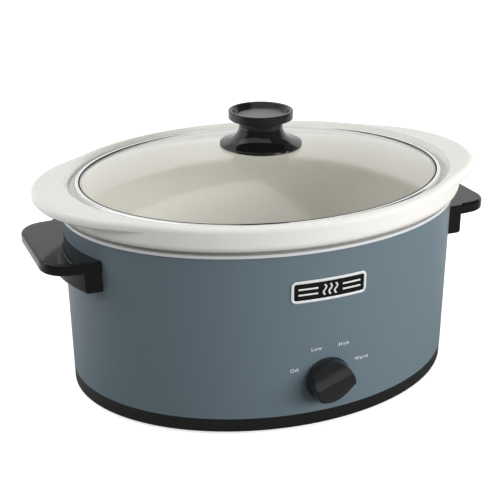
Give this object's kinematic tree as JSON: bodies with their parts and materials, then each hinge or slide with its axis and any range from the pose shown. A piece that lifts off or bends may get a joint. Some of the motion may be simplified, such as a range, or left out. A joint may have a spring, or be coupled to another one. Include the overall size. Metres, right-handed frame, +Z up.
{
  "type": "slow cooker",
  "caption": "Oval electric slow cooker: painted casing on a black base, lift-out stoneware crock, domed glass lid, side handles and a front heat dial.",
  "frame": {"origin": "on the table under the middle of the oval casing, in the plane of the feet's undersides", "axes": "+Z up; +X along the long side, from handle to handle; the heat dial and nameplate face -Y; the cord gland is at +Y"},
  "size_m": [0.424, 0.3183, 0.2411],
  "materials": {
    "casing_paint": "satin blue-grey enamel with fine metallic flake",
    "base_plastic": "fine-textured black moulding",
    "foot_rubber": "soft black rubber",
    "well_steel": "bright rolled aluminised steel",
    "hidden_steel": "plain zinc-plated steel",
    "brass": "turned brass",
    "heater_mica": "woven heater band in mica-coloured sleeving",
    "stoneware": "cream glaze, glossy, unglazed foot ring",
    "clear_glass": "clear tempered glass",
    "band_steel": "polished stainless band",
    "knob_phenolic": "glossy black phenolic",
    "disc_silver": "satin spun disc",
    "handle_plastic": "semi-gloss black moulding",
    "dial_plastic": "semi-gloss black moulding",
    "switch_plastic": "dark moulded switch body",
    "plate_chrome": "bright plated frame",
    "plate_black": "gloss black field",
    "gland_rubber": "moulded black bush",
    "block_ceramic": "unglazed steatite",
    "washer_silicone": "translucent silicone"
  },
  "bodies": {
    "body": {"outer_casing": "casing_paint", "base_pan": "base_plastic", "foot_front_left": "foot_rubber", "foot_front_right": "foot_rubber", "foot_rear_left": "foot_rubber", "foot_rear_right": "foot_rubber", "liner_pan": "well_steel", "liner_stud": "hidden_steel", "stud_washer": "hidden_steel", "stud_nut": "hidden_steel", "heat_shield": "hidden_steel", "heater_band": "heater_mica", "heater_strap": "hidden_steel", "thermal_fuse": "hidden_steel", "fuse_clip": "hidden_steel", "rotary_switch": "switch_plastic", "switch_nut": "hidden_steel", "switch_terminals": "brass", "nameplate_frame": "plate_chrome", "nameplate_inlay": "plate_black", "handle_left": "handle_plastic", "handle_right": "handle_plastic", "handle_screws": "hidden_steel", "handle_washers": "hidden_steel", "cord_gland": "gland_rubber", "terminal_block": "block_ceramic"},
    "crock": {"crock": "stoneware"},
    "lid": {"lid_glass": "clear_glass", "lid_rim": "band_steel", "lid_knob": "knob_phenolic", "lid_knob_disc": "disc_silver", "lid_knob_insert": "brass", "lid_knob_screw": "hidden_steel", "lid_knob_washer": "washer_silicone"},
    "dial": {"control_knob": "dial_plastic", "switch_shaft": "brass"}
  },
  "joints": [
    {"name": "crock_lift", "type": "slide", "parent": "body", "child": "crock", "axis": [0, 0, 1], "range_m": [0, 0.18]},
    {"name": "lid_lift", "type": "slide", "parent": "crock", "child": "lid", "axis": [0, 0, 1], "range_m": [0, 0.12]},
    {"name": "dial_turn", "type": "hinge", "parent": "body", "child": "dial", "pos_m": [0, -0.15, 0.0453], "axis": [0, -1, 0], "range_deg": [0, 140]}
  ]
}
